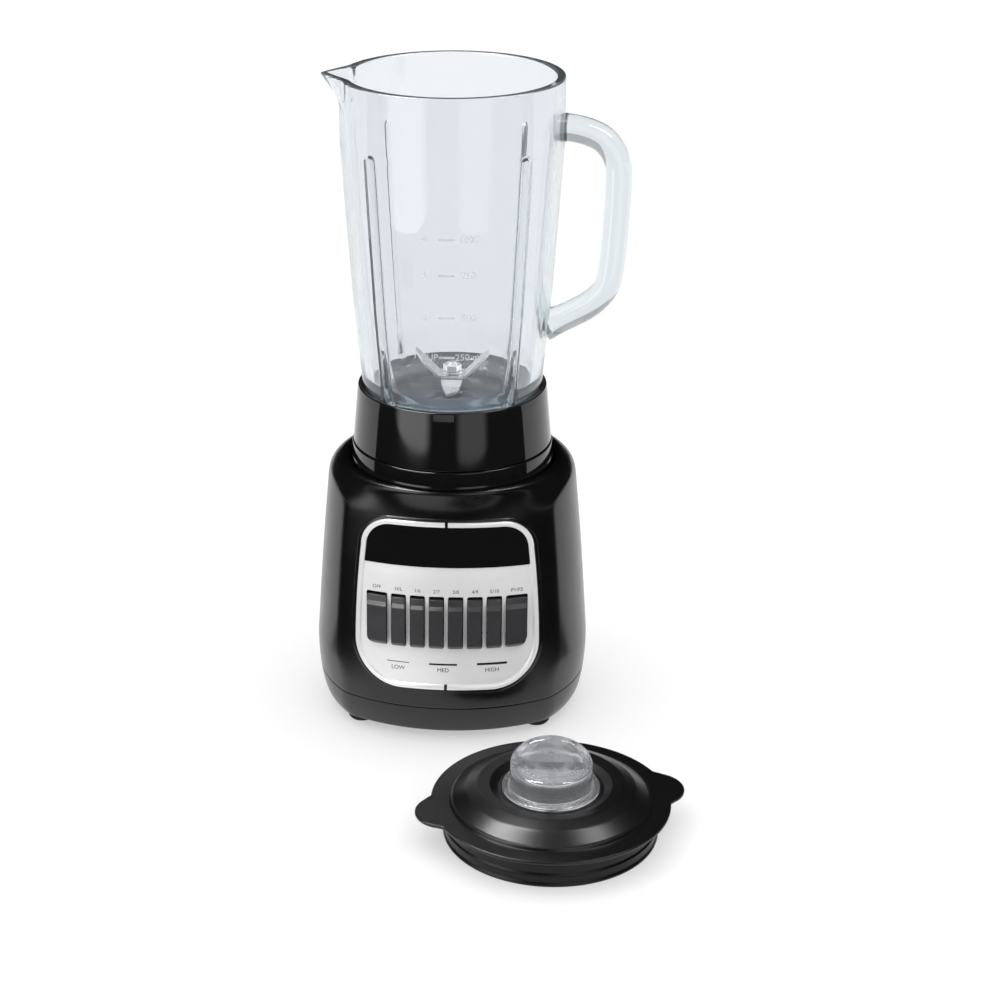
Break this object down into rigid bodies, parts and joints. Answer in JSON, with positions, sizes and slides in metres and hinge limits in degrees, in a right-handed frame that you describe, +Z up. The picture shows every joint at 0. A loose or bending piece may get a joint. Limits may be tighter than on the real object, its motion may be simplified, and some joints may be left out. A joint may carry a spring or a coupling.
{
  "type": "countertop blender",
  "caption": "Countertop blender with a spouted glass jar on a black motor base with piano keys, its lid and clear filler cap lying beside it.",
  "frame": {"origin": "on the counter, at the middle of the footprint of the blender and its lid together", "axes": "+Z up, -Y towards the user at the control panel, +X to the user's right, where the jar's handle is"},
  "size_m": [0.2252, 0.3223, 0.395],
  "materials": {
    "housing_black": "satin moulded",
    "gloss_black": "polished",
    "lid_black": "fine satin",
    "key_grey": "satin moulded",
    "bezel_silver": "bright satin plated",
    "panel_silver": "brushed",
    "jar_glass": "pressed clear glass",
    "cap_clear": "clear polished",
    "foot_rubber": "matt",
    "seal_silicone": "translucent matt",
    "blade_steel": "ground stainless",
    "plated_steel": "zinc plated",
    "laminated_iron": "stacked sheets",
    "copper_wire": "enamelled wire",
    "bearing_bronze": "sintered",
    "brush_carbon": "pressed carbon",
    "nylon_white": "moulded"
  },
  "bodies": {
    "base": {"motor_housing": "housing_black", "bottom_cover": "housing_black", "foot_1": "foot_rubber", "foot_2": "foot_rubber", "foot_3": "foot_rubber", "foot_4": "foot_rubber", "cover_screw_1": "plated_steel", "cover_screw_2": "plated_steel", "cover_screw_3": "plated_steel", "cover_screw_4": "plated_steel", "jar_seat_ring": "gloss_black", "bezel_frame": "bezel_silver", "control_panel": "panel_silver", "label_plate": "gloss_black", "switch_block": "nylon_white", "cord_gland": "foot_rubber", "stator_core": "laminated_iron", "field_coil_left": "copper_wire", "field_coil_right": "copper_wire", "upper_bearing_bracket": "plated_steel", "lower_bearing_bracket": "plated_steel", "upper_bush": "bearing_bronze", "lower_bush": "bearing_bronze", "carbon_brush_front": "brush_carbon", "carbon_brush_rear": "brush_carbon", "brush_holder_front": "bearing_bronze", "brush_holder_rear": "bearing_bronze", "motor_grommet_1": "foot_rubber", "motor_grommet_2": "foot_rubber", "motor_grommet_3": "foot_rubber", "motor_grommet_4": "foot_rubber"},
    "motor_rotor": {"armature_core": "laminated_iron", "armature_winding": "copper_wire", "motor_shaft": "plated_steel", "commutator": "copper_wire", "cooling_fan": "nylon_white", "drive_coupling": "nylon_white", "shaft_slinger": "foot_rubber"},
    "jar": {"glass_jar": "jar_glass", "jar_collar": "gloss_black", "sealing_gasket": "seal_silicone", "blade_base": "blade_steel", "spindle_bush": "bearing_bronze"},
    "blade_rotor": {"blade_spindle": "blade_steel", "upper_blade": "blade_steel", "lower_blade": "blade_steel", "blade_washer": "blade_steel", "blade_nut": "blade_steel", "driven_coupling": "nylon_white"},
    "off_button": {"off_key": "key_grey"},
    "speed_button_1": {"speed_key_1": "key_grey"},
    "speed_button_2": {"speed_key_2": "key_grey"},
    "speed_button_3": {"speed_key_3": "key_grey"},
    "speed_button_4": {"speed_key_4": "key_grey"},
    "speed_button_5": {"speed_key_5": "key_grey"},
    "speed_button_6": {"speed_key_6": "key_grey"},
    "pulse_button": {"pulse_key": "key_grey"},
    "lid": {"lid_shell": "lid_black", "lid_gasket": "gloss_black"},
    "cap": {"filler_cap": "cap_clear"}
  },
  "joints": [
    {"name": "motor_spin", "type": "hinge", "parent": "base", "child": "motor_rotor", "pos_m": [-0.0286, 0.0738, 0.08], "axis": [0, 0, 1], "continuous": true},
    {"name": "jar_lift", "type": "slide", "parent": "base", "child": "jar", "axis": [0, 0, 1], "range_m": [0, 0.15]},
    {"name": "blade_spin", "type": "hinge", "parent": "jar", "child": "blade_rotor", "pos_m": [-0.0286, 0.0738, 0.2], "axis": [0, 0, 1], "continuous": true},
    {"name": "off_press", "type": "slide", "parent": "base", "child": "off_button", "axis": [0, 0.9943, -0.1063], "range_m": [0, 0.0045], "stiffness_N_per_m": 300, "springref_m": -0.003},
    {"name": "speed_press_1", "type": "slide", "parent": "base", "child": "speed_button_1", "axis": [0, 0.9943, -0.1063], "range_m": [0, 0.0045], "stiffness_N_per_m": 300, "springref_m": -0.003},
    {"name": "speed_press_2", "type": "slide", "parent": "base", "child": "speed_button_2", "axis": [0, 0.9943, -0.1063], "range_m": [0, 0.0045], "stiffness_N_per_m": 300, "springref_m": -0.003},
    {"name": "speed_press_3", "type": "slide", "parent": "base", "child": "speed_button_3", "axis": [0, 0.9943, -0.1063], "range_m": [0, 0.0045], "stiffness_N_per_m": 300, "springref_m": -0.003},
    {"name": "speed_press_4", "type": "slide", "parent": "base", "child": "speed_button_4", "axis": [0, 0.9943, -0.1063], "range_m": [0, 0.0045], "stiffness_N_per_m": 300, "springref_m": -0.003},
    {"name": "speed_press_5", "type": "slide", "parent": "base", "child": "speed_button_5", "axis": [0, 0.9943, -0.1063], "range_m": [0, 0.0045], "stiffness_N_per_m": 300, "springref_m": -0.003},
    {"name": "speed_press_6", "type": "slide", "parent": "base", "child": "speed_button_6", "axis": [0, 0.9943, -0.1063], "range_m": [0, 0.0045], "stiffness_N_per_m": 300, "springref_m": -0.003},
    {"name": "pulse_press", "type": "slide", "parent": "base", "child": "pulse_button", "axis": [0, 0.9943, -0.1063], "range_m": [0, 0.0045], "stiffness_N_per_m": 300, "springref_m": -0.003},
    {"name": "lid_lift", "type": "slide", "parent": "base", "child": "lid", "axis": [0, 0, 1], "range_m": [0, 0.15]},
    {"name": "cap_lift", "type": "slide", "parent": "lid", "child": "cap", "axis": [0, 0, 1], "range_m": [0, 0.06]}
  ],
  "couplings": [
    {"joint": "blade_spin", "follows": "motor_spin", "ratio": 1}
  ]
}
